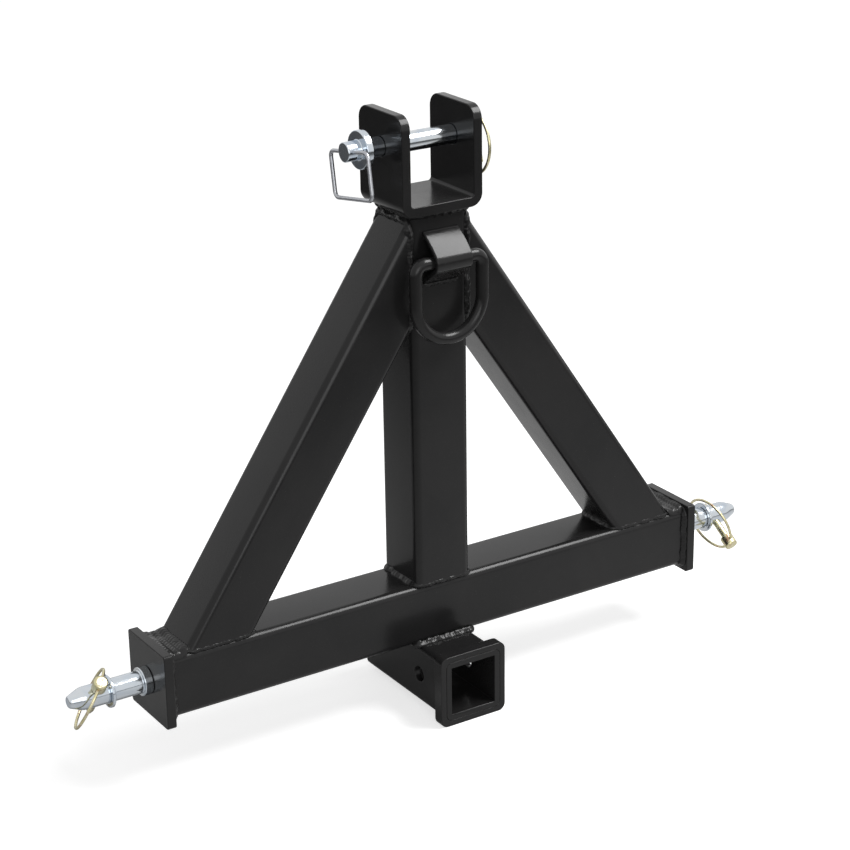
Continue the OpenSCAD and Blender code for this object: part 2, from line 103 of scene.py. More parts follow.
# Rings of points in one ripple of a bead, and points in each ring
BEAD_RINGS = 6.0
BEAD_SIDES = 28
# Lean of each lynch pin about X, in degrees
LEANS = {"left": 36.1, "right": 122.9, "top": -45.0}
# Each lynch pin with its host, its distance out of its seat in metres, and the twist of its head
# and the opening of its ring in degrees
LYNCH_PINS = (
    ("left", "left_lift_pin", 0.0, 40.0, 8.0),
    ("right", "right_lift_pin", 0.0195, -12.0, 14.0),
    ("top", "top_link_pin", 0.0, 0.0, 0.0),
)


# Properties


def length(name, description, default):
    """A length in metres."""
    kind = {"unit": "LENGTH", "subtype": "DISTANCE", "precision": 5}
    return FloatProperty(name=name, description=description, default=default, **kind)


def share(name, description, default):
    """A plain number, zero or more."""
    return FloatProperty(name=name, description=description, default=default, min=0.0, precision=3)


def turn(name, description, degrees):
    """An angle, given in degrees."""
    kind = {"unit": "ROTATION", "subtype": "ANGLE"}
    return FloatProperty(name=name, description=description, default=math.radians(degrees), **kind)


def colour(name, description, default):
    """A colour."""
    kind = {"subtype": "COLOR", "size": 3, "min": 0.0, "max": 1.0}
    return FloatVectorProperty(name=name, description=description, default=default, **kind)


class HitchPaint(bpy.types.PropertyGroup):
    """The black powder coat."""

    dark: colour("Paint", "Colour of the powder coat", (0.0115, 0.0115, 0.0118))
    light: colour("Thin paint", "Colour where the coat is thinner or dusty", (0.0175, 0.0170, 0.0170))
    dust: colour("Dust", "Colour of the dust on the coat", (0.11, 0.105, 0.10))
    gloss: share("Roughness", "Roughness of the coat", 0.20)
    shine: share("Shine", "Strength of the coat's reflection", 0.22)
    peel_size: length("Orange peel", "Width of one ripple of the orange peel", 0.0022)
    peel_depth: share("Orange peel depth", "Strength of the orange peel", 0.07)
    edge: length("Edge rounding", "Width of the rounding on sheared and sawn edges", 0.0009)


class HitchMetal(bpy.types.PropertyGroup):
    """The plated pins, rings and wire."""

    zinc: colour("Bright zinc", "Colour of the lift pins and the top pin", (0.58, 0.62, 0.66))
    zinc_blue: colour("Blue zinc", "Colour of the bluish clouds in the plating", (0.46, 0.52, 0.60))
    zinc_pale: colour("Pale zinc", "Colour of the palest clouds in the plating", (0.63, 0.65, 0.66))
    gold: colour("Yellow zinc", "Colour of the lynch pins", (0.58, 0.52, 0.30))
    green: colour("Green zinc", "Colour of the greenish clouds", (0.56, 0.57, 0.37))
    straw: colour("Straw zinc", "Colour of the palest clouds on the lynch pins", (0.66, 0.63, 0.45))
    brown: colour("Brown zinc", "Colour of the brownish clouds", (0.44, 0.29, 0.18))
    wire: colour("Wire", "Colour of the bail's wire", (0.46, 0.47, 0.49))
    wire_dull: colour("Dull wire", "Colour of the wire's dull patches", (0.36, 0.37, 0.40))
    edge: length("Nut edges", "Width of the rounding on the weld nuts' edges", 0.0007)


class HitchWelds(bpy.types.PropertyGroup):
    """The weld beads."""

    radius: length("Bead radius", "Radius of the beads round the frame's joints", 0.0056)
    clip_radius: length("Clip bead radius", "Radius of the beads along the clip", 0.004)
    pitch: length("Ripple pitch", "Distance from one ripple to the next", 0.0042)
    ripple: length("Ripple height", "Height of the ripples", 0.00040)
    lumps: length("Lumps", "Height of the uneven places along a bead", 0.0016)
    flat: share("Flatness", "How far a bead is flattened between its edges", 0.16)
    fill_low: length("Fill depth", "Least depth of the fill between an end plate and a brace", 0.0016)
    fill_rise: length("Fill rise", "Rise of that fill towards the plate and the brace", 0.0034)
    sunk: length("Flush joints", "Depth of the beads where two tubes lie flush", 0.0038)


class HitchShape(bpy.types.PropertyGroup):
    """Sizes of the bent and turned pieces, as in the solid model."""

    brace_slope: turn("Brace slope", "Slope of the braces above the bar", 55.75)
    brace_width: length("Brace width", "Outside width of a brace", 0.0603)
    tube_corner: length("Tube corner", "Outside corner radius of the tubes", 0.0079)
    receiver_corner: length("Receiver corner", "Outside corner radius of the receiver", 0.0064)
    foot_in: length("Foot inset", "Distance from the bar's end to a brace's foot", 0.0183)
    rod: length("Ring rod", "Diameter of the D-ring's rod", 0.0127)
    rod_bend: length("Ring corners", "Bend radius of the D-ring's upper corners", 0.010)
    clip_width: length("Clip width", "Width of the clip's strap", 0.040)
    clip_thick: length("Clip thickness", "Thickness of the clip's strap", 0.0048)
    clip_gap: length("Clip gap", "Gap between the D-ring's rod and the clip", 0.0006)
    clip_edge: length("Clip edges", "Rounding on the strap's long edges", 0.0013)
    clip_top: turn("Clip's upper slope", "Slope of the clip's upper leg above level", 40.0)
    clip_foot: turn("Clip's lower slope", "Slope of the clip's lower leg below level", 35.3)
    clip_arch: turn("Clip's arch", "Turn of the upper leg from its middle to each end", 8.0)
    wire: length("Bail wire", "Diameter of the bail's wire", 0.004)
    bail_width: length("Bail width", "Distance between the bail's side wires", 0.0677)
    bail_height: length("Bail height", "Distance from the hole to the bail's bottom wire", 0.0442)
    bail_bend: length("Bail corners", "Bend radius of the bail", 0.006)
    bail_turn: turn("Bail turn", "Turn of the bail about the top pin", 9.6)
    bail_x: length("Bail place", "Place of the bail along the top pin", -0.0784)
    bail_end: length("Bail ends", "Distance of the bail's ends from the pin's axis", 0.00476)
    turned_edge: length("Turned edges", "Rounding on the edges of the turned pins", 0.0008)
    nose_edge: length("Nose edges", "Rounding on a lift pin's nose", 0.003)
    top_pin: length("Top pin", "Diameter of the top link pin", 0.01905)
    top_head: length("Top head", "Length of the top pin outside its collar", 0.015)
    top_tip: length("Top tip", "Chamfer on the top pin's tip", 0.003)
    top_collar: length("Top collar", "Diameter of the top pin's collar", 0.037)
    top_collar_thick: length("Top collar's thickness", "Thickness of that collar", 0.0075)
    bail_hole: length("Bail hole", "Diameter of the bail's hole", 0.00416)
    lift_pin: length("Lift pin", "Diameter of the lift pins", 0.0222)
    lift_stub: length("Lift stub", "Diameter of the threaded stub in the plate", 0.01905)
    lift_collar: length("Lift shoulder", "Diameter of a lift pin's shoulder", 0.028)
    lift_collar_thick: length("Lift shoulder's thickness", "Thickness of the shoulder", 0.009)
    lift_nose: length("Lift nose", "Length of the tapered nose", 0.014)
    lift_nose_end: length("Lift nose's end", "Diameter of the end of the nose", 0.011)
    washer_hole: length("Washer hole", "Diameter of a washer's hole", 0.023)
    washer_edge: length("Washer edge", "Rounding on a stamped washer's edges", 0.0006)
    lynch_hole: length("Lynch hole", "Diameter of the holes for the lynch pins", 0.0085)
    seat_gap: length("Seat gap", "Gap between a seated lynch head and its pin", 0.0003)
    hinge_hole: length("Hinge hole", "Diameter of the ring's hole through a lynch head", 0.00316)
    spring: length("Spring wire", "Diameter of the lynch rings' wire", 0.003)
    spring_ring: length("Spring ring", "Radius of a lynch ring", 0.030)
    spring_in: length("Hinge depth", "Distance that the hinge cuts into the ring", 0.001)
    shank: length("Lynch shank", "Diameter of a lynch pin", 0.0079)
    shank_length: length("Lynch length", "Length of the shank under the head", 0.045)
    tip_length: length("Lynch tip", "Length of the tapered tip", 0.007)
    tip_width: length("Lynch tip width", "Diameter of the end of the tip", 0.00395)
    head: length("Lynch head", "Diameter of a lynch pin's head", 0.014)
    head_length: length("Lynch head length", "Length of a lynch pin's head", 0.013)
    head_round: length("Lynch head rounding", "Radius of the rounding on the head", 0.0028)


class HitchStage(bpy.types.PropertyGroup):
    """The camera, the floor and the lamps."""

    place: FloatVectorProperty(
        name="Camera place",
        description="Where the camera stands",
        default=(-1.1421, -1.7645, 1.0855),
        unit="LENGTH",
        subtype="TRANSLATION",
    )
    tilt: turn("Camera tilt", "Turn of the camera up from looking straight down", 68.591)
    roll: turn("Camera roll", "Lean of the camera to one side", 0.828)
    heading: turn("Camera heading", "Turn of the camera about the vertical", -32.774)
    lens: FloatProperty(
        name="Lens", description="Focal length in millimetres", default=98.59, min=20.0, max=200.0
    )
    floor_size: length("Floor size", "Half the width of the floor", 6.0)
    floor_tone: share("Floor tone", "Lightness of the floor under the object", 0.7)
    # Painted shade: the floor's colour falls to this tone far from the object, so that the object's
    # reflections see a darker horizon.
    far_floor_painted_shade: share("Far floor tone", "Lightness of the floor far from the object", 0.12)
    sky: share("Sky", "Strength of the soft light from all sides", 0.34)
    top_lamp: share("Top lamp", "Brightness of the wide lamp over the frame", 14.0)
    front_lamp: share("Front lamp", "Brightness of the large lamp in front", 2.2)
    floor_seen: share("Floor glow", "Glow that makes the floor white to the camera", 0.66)
    floor_far: share("Far floor glow", "The same glow far from the object", 0.97)
    floor_near: length("Near floor", "Distance at which the floor begins to change", 0.45)
    floor_end: length("Far floor", "Distance at which the floor is all far", 1.6)
    floor_mirrored: share("Mirrored floor glow", "Glow of the floor in reflections", 0.03)


GROUPS = (
    ("hitch_paint", HitchPaint),
    ("hitch_metal", HitchMetal),
    ("hitch_welds", HitchWelds),
    ("hitch_shape", HitchShape),
    ("hitch_stage", HitchStage),
)


# Materials


def node_adder(tree):
    """Empties a tree of nodes and gives a function that adds a node to it."""
    tree.nodes.clear()

    def add(kind, inputs=(), **settings):
        """A node's outputs. Its inputs go by name or number: a socket is linked, and a value is set."""
        node = tree.nodes.new("ShaderNode" + kind)
        for key, value in settings.items():
            setattr(node, key, value)
        for key, value in dict(inputs).items():
            if isinstance(value, bpy.types.NodeSocket):
                tree.links.new(value, node.inputs[key])
            else:
                node.inputs[key].default_value = value
        return node.outputs

    return add


def new_material(name):
    """An empty node material, a function that adds its nodes, and its object's own coordinates."""
    material = bpy.data.materials.new(name)
    material.use_nodes = True
    add = node_adder(material.node_tree)
    return material, add, add("TexCoord")["Object"]


def noise(add, where, scale, detail=2.0, roughness=0.5, distortion=0.0):
    """Noise on the object's own coordinates, with scale in features per metre."""
    inputs = {"Vector": where, "Scale": scale, "Detail": detail, "Roughness": roughness}
    return add("TexNoise", {**inputs, "Distortion": distortion})["Fac"]


def between(add, value, low, high, from_low=0.3, from_high=0.7):
    """Carries a value from one span to another and stops at its ends."""
    spans = {"From Min": from_low, "From Max": from_high, "To Min": low, "To Max": high}
    return add("MapRange", {"Value": value, **spans}, clamp=True)["Result"]


def tint(add, value, stops):
    """A colour ramp through stops of (place, colour)."""
    ramped = add("ValToRGB", {"Fac": value})["Color"]
    elements = ramped.node.color_ramp.elements
    while len(elements) < len(stops):
        elements.new(0.5)
    for element, (place, rgb) in zip(elements, stops):
        element.position = place
        element.color = (*rgb, 1.0)
    return ramped


def bump(add, height, strength, distance, under=None):
    """A bump from a height, over another bump if one is given."""
    inputs = {"Height": height, "Strength": strength, "Distance": distance}
    if under is not None:
        inputs["Normal"] = under
    return add("Bump", inputs)["Normal"]


def paint_material(name, bead):
    """Black powder coat: faint clouds in its colour and gloss, orange peel and a little dust.

    On beads it is a shade duller and shows the metal's spatter."""
    paint = bpy.context.scene.hitch_paint
    material, add, where = new_material(name)
    clouds = noise(add, where, scale=9.0, detail=4.0, roughness=0.6, distortion=0.4)
    coat = tint(add, clouds, [(0.32, paint.dark), (0.72, paint.light)])
    dust = noise(add, where, scale=900.0, roughness=0.7)
    specks = between(add, dust, low=0.0, high=0.35, from_low=0.69, from_high=0.76)
    dusty = {"Fac": specks, "Color1": coat, "Color2": (*paint.dust, 1.0)}
    rubbed = noise(add, where, scale=26.0, detail=5.0, roughness=0.62, distortion=0.6)
    least = paint.gloss - (0.02 if bead else 0.04)
    most = least + 0.10
    peel = noise(add, where, scale=1.0 / paint.peel_size, roughness=0.45)
    normal = bump(add, peel, strength=paint.peel_depth, distance=0.0006)
    if bead:
        spatter = noise(add, where, scale=240.0)
        normal = bump(add, spatter, strength=0.15, distance=0.0008, under=normal)
    inputs = {
        "Specular IOR Level": paint.shine,
        "Base Color": add("MixRGB", dusty, blend_type="MIX")["Color"],
        "Roughness": between(add, rubbed, least, most),
        "Normal": normal,
    }
    add("OutputMaterial", {"Surface": add("BsdfPrincipled", inputs)["BSDF"]})
    return material


def plated_material(name, clouds, stops, spots, gloss, grain, relief, lathe=False):
    """A plated metal: clouds in its colour, dull spots in its gloss, and a fine grain.

    clouds and spots hold the settings of their noise, gloss the least and the greatest roughness,
    grain the scale of the grain, and relief the strength and the distance of its bump. Without
    spots the clouds dull the metal. A lathe leaves fine marks across the length."""
    material, add, where = new_material(name)
    clouded = noise(add, where, **clouds)
    spotted = noise(add, where, **spots) if spots else clouded
    marked = None
    if lathe:
        waves = {"Vector": where, "Scale": 420.0, "Distortion": 1.4, "Detail": 2.0, "Detail Scale": 3.0}
        marks = add("TexWave", waves, wave_type="BANDS", bands_direction="X")["Fac"]
        marked = bump(add, marks, strength=0.03, distance=0.00002)
    inputs = {
        "Metallic": 1.0,
        "Base Color": tint(add, clouded, stops),
        "Roughness": between(add, spotted, *gloss),
        "Normal": bump(add, noise(add, where, scale=grain), *relief, under=marked),
    }
    add("OutputMaterial", {"Surface": add("BsdfPrincipled", inputs)["BSDF"]})
    return material


def bright_zinc():
    """Bright zinc: bluish clouds, fine turning marks and small dull spots."""
    metal = bpy.context.scene.hitch_metal
    return plated_material(
        "bright_zinc_plating",
        clouds={"scale": 38.0, "detail": 3.0, "distortion": 0.8},
        stops=[(0.3, metal.zinc_blue), (0.52, metal.zinc), (0.75, metal.zinc_pale)],
        spots={"scale": 240.0, "detail": 3.0, "roughness": 0.65},
        gloss=(0.09, 0.16),
        grain=1500.0,
        relief=(0.03, 0.00005),
        lathe=True,
    )


def yellow_zinc():
    """Yellow zinc: gold with greenish and brownish clouds and a soft grain."""
    metal = bpy.context.scene.hitch_metal
    return plated_material(
        "yellow_zinc_plating",
        clouds={"scale": 95.0, "detail": 3.0, "roughness": 0.55, "distortion": 1.6},
        stops=[(0.30, metal.green), (0.46, metal.gold), (0.54, metal.straw), (0.65, metal.brown)],
        spots={"scale": 300.0, "detail": 3.0, "roughness": 0.6},
        gloss=(0.20, 0.38),
        grain=1300.0,
        relief=(0.05, 0.00006),
    )


def spring_wire():
    """Grey zinc-plated spring wire with dull patches."""
    metal = bpy.context.scene.hitch_metal
    return plated_material(
        "grey_spring_wire",
        clouds={"scale": 130.0, "detail": 4.0, "roughness": 0.6, "distortion": 0.8},
        stops=[(0.3, metal.wire_dull), (0.7, metal.wire)],
        spots=None,
        gloss=(0.24, 0.42),
        grain=1800.0,
        relief=(0.06, 0.00006),
    )


MAKERS = {
    "black_paint": lambda: paint_material("black_powder_coat", False),
    "weld_paint": lambda: paint_material("painted_bead", True),
    "bright_zinc": bright_zinc,
    "yellow_zinc": yellow_zinc,
    "spring_wire": spring_wire,
}
MATERIALS = {}


def finish_for(slot):
    """The one material that stands for a slot of the record, made when it is first asked for."""
    if slot not in MATERIALS:
        MATERIALS[slot] = MAKERS[slot]()
    return MATERIALS[slot]


# Shapes


def skin(rings, closed):
    """A surface through rings of points, an array of (ring, place, xyz).

    Each ring is closed on itself. A closed surface joins its last ring to its first, and an open
    one closes each end with a fan to the middle of its end ring."""
    count, around = rings.shape[:2]
    points = rings.reshape(-1, 3)
    steps = count if closed else count - 1
    ring, place = np.meshgrid(np.arange(steps), np.arange(around), indexing="ij")
    nxt, side = (ring + 1) % count, (place + 1) % around
    quads = np.stack(
        [ring * around + place, ring * around + side, nxt * around + side, nxt * around + place],
        axis=-1,
    ).reshape(-1, 4)
    faces = quads.tolist()
    if not closed:
        points = np.vstack([points, rings[0].mean(0), rings[-1].mean(0)])
        spot = np.arange(around)
        near = (spot + 1) % around
        last = (count - 1) * around
        start = np.stack([near, spot, np.full(around, len(points) - 2)], axis=-1)
        end = np.stack([last + spot, last + near, np.full(around, len(points) - 1)], axis=-1)
        faces += start.tolist() + end.tolist()
    return points, faces


def resample(points, step, closed):
    """The same line with points at even distances of about step along it, over eight steps or more."""
    fewest = 8
    line = np.vstack([points, points[:1]]) if closed else points
    along = np.concatenate([[0.0], np.cumsum(np.linalg.norm(np.diff(line, axis=0), axis=1))])
    count = max(fewest, int(round(along[-1] / step)))
    wanted = np.linspace(0.0, along[-1], count + 1)
    even = np.stack([np.interp(wanted, along, line[:, k]) for k in range(line.shape[1])], axis=-1)
    return (even[:-1] if closed else even), wanted[: count if closed else count + 1], along[-1]


def arc(middle, radius, start, end, count=24):
    """Points on an arc between two angles in degrees, of a circle or, with two radii, of an ellipse."""
    angle = np.radians(np.linspace(start, end, count))
    reach = np.broadcast_to(np.asarray(radius, float), (2,))
    return np.asarray(middle, float) + reach * np.stack([np.cos(angle), np.sin(angle)], axis=-1)


def rounded_rectangle(half, corner):
    """A closed line round a rectangle of half sizes half, with round corners, against the clock."""
    half = np.asarray(half, float)
    corner = np.broadcast_to(np.asarray(corner, float), (2,))
    inner = half - corner
    return np.vstack(
        [
            arc(inner * (sx, sy), corner, start, start + 90, 12)
            for sx, sy, start in ((1, 1, 0), (-1, 1, 90), (-1, -1, 180), (1, -1, 270))
        ]
    )


def rod(path, radius, closed, across, up, origin, swell=None, step=0.0015, sides=18):
    """A round bar along a flat line.

    A point of its surface is the line's point plus the radius times the cosine of the angle round
    the bar, along the line's own side direction in its plane, plus the radius times the sine, square
    to the plane. swell(distance, angle, whole length) gives the radius as a share of itself. An
    open bar ends in two domes, whose rings shrink with the cosine as they move out with the sine."""
    dome_rings, smallest = 5, 0.02
    line, along, whole = resample(np.asarray(path, float), step, closed)
    if closed:
        heading = np.roll(line, -1, axis=0) - np.roll(line, 1, axis=0)
    else:
        heading = np.gradient(line, axis=0)
    heading /= np.linalg.norm(heading, axis=1)[:, None]
    size = np.full(len(line), radius)
    if not closed:
        lift = np.radians(np.linspace(90.0, 0.0, dome_rings + 1)[:-1])
        first = line[0] - heading[0] * (radius * np.sin(lift))[:, None] + heading[0] * radius
        last = line[-1] + heading[-1] * (radius * np.sin(lift[::-1]))[:, None] - heading[-1] * radius
        body = (along > radius) & (along < whole - radius)
        line = np.vstack([first, line[body], last])
        heading = np.vstack(
            [np.tile(heading[0], (len(lift), 1)), heading[body], np.tile(heading[-1], (len(lift), 1))]
        )
        shrunk = np.maximum(radius * np.cos(lift), radius * smallest)
        size = np.concatenate([shrunk, size[body], shrunk[::-1]])
        along = np.concatenate([np.zeros(len(lift)), along[body], np.full(len(lift), whole)])
    sideways = np.stack([heading[:, 1], -heading[:, 0]], axis=-1)
    across, up = np.asarray(across, float), np.asarray(up, float)
    square = np.cross(across, up)
    middle = np.asarray(origin, float) + line[:, :1] * across + line[:, 1:] * up
    out = sideways[:, :1] * across + sideways[:, 1:] * up
    angle = np.linspace(0.0, 2.0 * np.pi, sides, endpoint=False)
    width = size[:, None] * np.ones(sides)
    if swell is not None:
        width = width * swell(along[:, None], angle[None, :], whole)
    rings = (
        middle[:, None, :]
        + width[..., None] * np.cos(angle)[None, :, None] * out[:, None, :]
        + width[..., None] * np.sin(angle)[None, :, None] * square
    )
    return skin(rings, closed)


def softened(line, radius):
    """The same line with each inner corner eased over a length of radius.

    Each corner gives way to five points: one on each side that keeps the flat flat, the two ends of
    the ease, and one a quarter of the way from the corner towards both ends. An ease takes up no
    more than a fixed share of the shorter side."""
    most, quarter, beyond = 0.3, 0.25, 1.5
    line = np.asarray(line, float)
    corner = line[1:-1]
    back, on = line[:-2] - corner, line[2:] - corner
    far_back, far_on = np.linalg.norm(back, axis=1), np.linalg.norm(on, axis=1)
    ease = np.minimum(radius, most * np.minimum(far_back, far_on))[:, None]
    back, on = back / far_back[:, None] * ease, on / far_on[:, None] * ease
    moves = [beyond * back, back, quarter * (back + on), on, beyond * on]
    eased = np.stack([corner + move for move in moves], axis=1)
    return np.vstack([line[:1], eased.reshape(-1, 2), line[-1:]])


def turned(profile, origin, axis, side, holes=(), sides=120):
    """A turned piece, with round holes straight through it.

    A point is the origin plus the height along the axis plus the radius round it. A hole is its
    height, its turn from side in radians and its radius. Round each of its mouths the even mesh
    gives way to spokes from a square of it to the hole's rim. The rim lies at the hole's radius
    times the cosine of the spoke's angle along the axis, and at the angle round the piece whose
    sine is the hole's radius times the sine of the spoke's angle, over the piece's radius. A wall
    of straight lines joins the two rims."""
    # Steps of the even mesh from a hole's rim to the square round it
    margin = 1.2
    # Places of the rings of points from that square to the rim, and from rim to rim
    rings_to_rim, rings_in_wall = (0.4, 0.75, 0.95, 1.0), (0.03, 0.97)
    profile = np.asarray(profile, float)
    step = 2.0 * np.pi / sides
    blocks = []
    for height, way, hole in holes:
        radius = np.interp(height, profile[:, 0], profile[:, 1])
        reach = int(np.ceil(np.arcsin(hole / radius) / step + margin))
        rows = height + np.arange(-reach, reach + 1) * radius * step
        flat = np.column_stack([rows, np.full(len(rows), radius)])
        profile = np.vstack([profile[profile[:, 0] < rows[0]], flat, profile[profile[:, 0] > rows[-1]]])
        blocks.append((height, int(round(way / step)), hole, radius, reach))

    origin, axis, side = (np.asarray(vector, float) for vector in (origin, axis, side))
    other = np.cross(axis, side)

    def at(height, angle, radius):
        """Points at a height, an angle and a radius."""
        round_it = np.cos(angle)[..., None] * side + np.sin(angle)[..., None] * other
        return origin + np.asarray(height)[..., None] * axis + np.asarray(radius)[..., None] * round_it

    count = len(profile)
    grid = at(profile[:, :1], np.arange(sides)[None, :] * step, profile[:, 1:])
    points, faces = skin(grid, False)
    quads = count * sides - sides
    keep = np.ones((count - 1, sides), bool)
    layers, extra, total = [], [], len(points)

    def strip(first, second):
        """Faces between two loops of points."""
        return np.stack([first, np.roll(first, -1), np.roll(second, -1), second], axis=-1).tolist()

    for height, column, hole, radius, reach in blocks:
        start = int(np.argmin(np.abs(profile[:, 0] - (height - reach * radius * step))))
        walk = np.arange(2 * reach)
        down = np.concatenate([walk * 0, walk, walk * 0 + 2 * reach, 2 * reach - walk]) - reach
        over = np.concatenate([walk, walk * 0 + 2 * reach, 2 * reach - walk, walk * 0]) - reach
        spoke = np.arctan2(over, down)
        rim = np.stack([hole * np.cos(spoke), np.arcsin(hole * np.sin(spoke) / radius)])
        edge = np.stack([down * radius * step, over * step])
        rims = []
        for flip, middle in ((1, column), (-1, column + sides // 2)):
            cells = (middle + np.arange(-reach, reach)) % sides
            keep[start : start + 2 * reach, cells] = False
            loop = (start + reach + down) * sides + (middle + flip * over) % sides
            for way_in in rings_to_rim:
                along, angle = edge + (rim - edge) * way_in
                wide = np.full(len(along), radius)
                layers.append(at(height + along, middle * step + flip * angle, wide))
                inner = total + np.arange(len(along))
                total += len(along)
                extra += strip(loop, inner)
                loop = inner
            rims.append((loop, layers[-1]))
        (loop, first), (last, second) = rims
        for way_in in rings_in_wall:
            layers.append(first + (second - first) * way_in)
            inner = total + np.arange(len(first))
            total += len(first)
            extra += strip(loop, inner)
            loop = inner
        extra += strip(loop, last)
    kept = [face for face, stays in zip(faces[:quads], keep.ravel()) if stays]
    return np.vstack([points, *layers]), kept + faces[quads:] + extra


def washer(middle, inner, outer, thick, corner):
    """A flat ring round X: a rounded rectangle swung round the axis at the mean of both radii."""
    sides = 120
    section = rounded_rectangle((thick / 2.0, (outer - inner) / 2.0), corner)
    reach = section[:, 1] + (outer + inner) / 2.0
    angle = np.linspace(0.0, 2.0 * np.pi, sides, endpoint=False)[:, None]
    rings = np.stack(
        [
            middle[0] + section[:, 0] + 0.0 * angle,
            middle[1] + reach * np.cos(angle),
            middle[2] + reach * np.sin(angle),
        ],
        axis=-1,
    )
    return skin(rings, True)


def strap(line, half, corner, origin, face):
    """A flat bar along X, carried along a line of points (in, up), seen from its side.

    A point is the line's point, plus a share of the bar's thickness square to the line, plus a share
    of its width along X, round a rounded rectangle. Each end is cut along the plane at the distance
    face: its points slide along the line's heading until they reach it."""
    heading = np.gradient(line, axis=0)
    heading /= np.linalg.norm(heading, axis=1)[:, None]
    section = rounded_rectangle(half, corner)
    square = np.stack([-heading[:, 1], heading[:, 0]], axis=-1)
    flat = line[:, None, :] + section[None, :, :1] * square[:, None, :]
    for end in (0, -1):
        flat[end] += (face - flat[end][:, :1]) / heading[end][0] * heading[end]
    wide = np.broadcast_to(section[:, 1], flat.shape[:2])
    return skin(origin + np.stack([wide, flat[..., 0], flat[..., 1]], axis=-1), False)


def joined(parts):
    """Several surfaces as one list of points and one of faces."""
    points, faces, count = [], [], 0
    for part_points, part_faces in parts:
        points.append(part_points)
        faces += [[index + count for index in face] for face in part_faces]
        count += len(part_points)
    return np.vstack(points), faces


def place_piece(name, node, mesh):
    """Gives a finished mesh its object, finish and body, in place of a node of the solid model."""
    source = frame["nodes"][node]
    slot = slot_of(node)
    mesh.materials.clear()
    mesh.materials.append(finish_for(slot))
    piece = bpy.data.objects.new(name, mesh)
    bpy.context.scene.collection.objects.link(piece)
    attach(piece, source["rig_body"])
    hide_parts(node)
    return piece


def slot_of(node):
    """The record's material slot of a node."""
    for part in frame["record"]["subparts"]:
        if part["node"] == node:
            return part["material_slot"]
    raise RuntimeError(f"the record gives no material slot for {node}")


def surface_piece(name, node, surface):
    """A piece from worked-out points and faces, smooth, with its faces turned outwards."""
    points, faces = surface
    mesh = bpy.data.meshes.new(name)
    mesh.from_pydata(points.tolist(), [], faces)
    work = bmesh.new()
    work.from_mesh(mesh)
    bmesh.ops.recalc_face_normals(work, faces=work.faces)
    work.to_mesh(mesh)
    work.free()
    mesh.polygons.foreach_set("use_smooth", np.ones(len(mesh.polygons), bool))
    mesh.update()
    place_piece(name, node, mesh)


def eased_copy(name, node, edge):
    """A copy of a solid whose loose triangles are merged into flat fields, with rounded sharp edges."""
    merge, flat, sharp = 2e-6, math.radians(0.4), math.radians(32.0)
    mesh = frame["nodes"][node].data.copy()
    work = bmesh.new()
    work.from_mesh(mesh)
    bmesh.ops.remove_doubles(work, verts=work.verts, dist=merge)
    bmesh.ops.dissolve_limit(work, angle_limit=flat, verts=work.verts, edges=work.edges)
    work.to_mesh(mesh)
    work.free()
    if "custom_normal" in mesh.attributes:
        mesh.attributes.remove(mesh.attributes["custom_normal"])
    mesh.polygons.foreach_set("use_smooth", np.ones(len(mesh.polygons), bool))
    mesh.set_sharp_from_angle(angle=sharp)
    mesh.update()
    piece = place_piece(name, node, mesh)
    bevel = piece.modifiers.new("rounded_edges", "BEVEL")
    bevel.width = edge
    bevel.segments = 2
    bevel.limit_method = "ANGLE"
    bevel.angle_limit = sharp
    bevel.harden_normals = True
    bevel.miter_outer = "MITER_ARC"


def middle_of(node):
    """The middle of a node's box."""
    low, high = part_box(node)
    return (np.array(low) + np.array(high)) / 2.0


def bead_swell(seed, radius, flush=None):
    """The radius of a bead as a share of its plain radius.

    It is 1, less the flattening halfway between two joined faces (a cosine of four times the angle),
    plus ripples that lag behind at the bead's edges (the size of a sine along the bead, bent by the
    angle and blunted where it is nothing), plus lumps, a sum of slow waves of seeded phase along the
    bead and round it, which lie a share of their height below the plain radius. Where a loop has two
    flush runs, with the middle of one at the share flush of its way round, ripples and lumps are
    lowest there, and grow by the fourth power of the sine of twice the way on from it."""
    welds = bpy.context.scene.hitch_welds
    lag, blunt, level, lowest, sunk_lumps = 0.9, 0.04, 0.8, 0.7, 0.6
    random = np.random.default_rng(seed)
    waves = random.integers(3, 30, 9)
    phases = random.uniform(0.0, 2.0 * np.pi, 9)
    leans = random.integers(-2, 3, 9)
    heights = random.uniform(0.35, 1.0, 9)
    heights /= heights.sum()

    def swell(along, angle, whole):
        way = along / whole
        beads = max(1.0, round(whole / welds.pitch))
        phase = way * beads * np.pi + lag * np.cos(2.0 * angle - np.pi / 2.0)
        rippled = np.sqrt(np.sin(phase) ** 2 + blunt) - level
        uneven = sum(
            height * np.sin(2.0 * np.pi * wave * way + lean * angle + start)
            for wave, start, lean, height in zip(waves, phases, leans, heights)
        )
        dip = welds.flat * 0.5 * (1.0 - np.cos(4.0 * angle))
        calm = 1.0
        if flush is not None:
            calm = lowest + (1.0 - lowest) * np.sin(2.0 * np.pi * (way - flush)) ** 4
        rise = welds.ripple * calm * rippled + welds.lumps * (calm * uneven - sunk_lumps)
        return 1.0 - dip + rise / radius

    return swell


def bead_loop(middle, half, corner, across, up, seed, flush=False):
    """A bead round a rounded rectangle. A flush loop is calmer on the two runs along its across."""
    welds = bpy.context.scene.hitch_welds
    calm_at = half[0] / (half[0] + half[1]) / 4.0 if flush else None
    swell = bead_swell(seed, welds.radius, calm_at)
    path, step = rounded_rectangle(half, corner), welds.pitch / BEAD_RINGS
    return rod(path, welds.radius, True, across, up, middle, swell, step, BEAD_SIDES)


